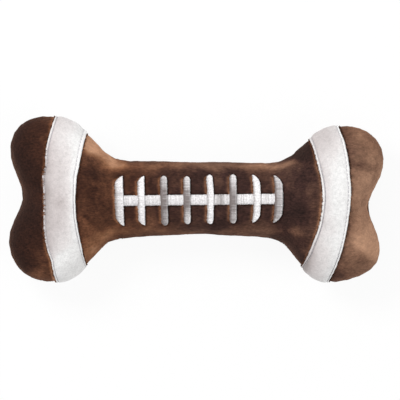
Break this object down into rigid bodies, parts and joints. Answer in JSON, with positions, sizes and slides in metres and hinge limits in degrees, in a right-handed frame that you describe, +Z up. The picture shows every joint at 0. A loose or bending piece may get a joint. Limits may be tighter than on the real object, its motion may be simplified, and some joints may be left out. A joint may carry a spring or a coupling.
{
  "type": "plush bone dog toy",
  "caption": "Stuffed velour bone with white strips across both ends, satin-stitched lacing along the shaft and a squeaker inside.",
  "frame": {"origin": "under the middle of the toy's box, on the surface that it lies on", "axes": "+X along the bone, +Y across it, +Z up out of the laced face"},
  "size_m": [0.281, 0.1258, 0.0645],
  "materials": {
    "brown_velour": "short brushed pile with a soft sheen",
    "white_plush": "short matte pile, edges cut raw and topstitched",
    "satin_thread": "raised satin stitch with a silky sheen",
    "backing_felt": "non-woven stiffener",
    "fibre_fill": "loose white fibre",
    "soft_plastic": "soft milky moulding",
    "hard_plastic": "smooth white moulding",
    "reed_film": "thin springy film"
  },
  "bodies": {
    "plush_body": {"front_panel": "brown_velour", "back_panel": "brown_velour", "front_band_left": "white_plush", "front_band_right": "white_plush", "back_band_left": "white_plush", "back_band_right": "white_plush", "lace_spine": "satin_thread", "lace_cross_1": "satin_thread", "lace_cross_2": "satin_thread", "lace_cross_3": "satin_thread", "lace_cross_4": "satin_thread", "lace_cross_5": "satin_thread", "lace_cross_6": "satin_thread", "lace_cross_7": "satin_thread", "lace_cross_8": "satin_thread", "lace_backing": "backing_felt", "fill_left_upper": "fibre_fill", "fill_left_lower": "fibre_fill", "fill_right_upper": "fibre_fill", "fill_right_lower": "fibre_fill", "fill_shaft_front": "fibre_fill", "fill_shaft_back": "fibre_fill", "squeaker_base": "soft_plastic", "squeaker_bellows": "soft_plastic", "reed_barrel": "hard_plastic", "reed_seat": "hard_plastic", "reed_clip": "hard_plastic", "reed": "reed_film"},
    "squeaker_top": {"squeaker_cap": "soft_plastic"}
  },
  "joints": [
    {"name": "squeaker_press", "type": "slide", "parent": "plush_body", "child": "squeaker_top", "axis": [0, 0, -1], "range_m": [0, 0.008], "stiffness_N_per_m": 700, "deforming": ["squeaker_bellows"]}
  ]
}
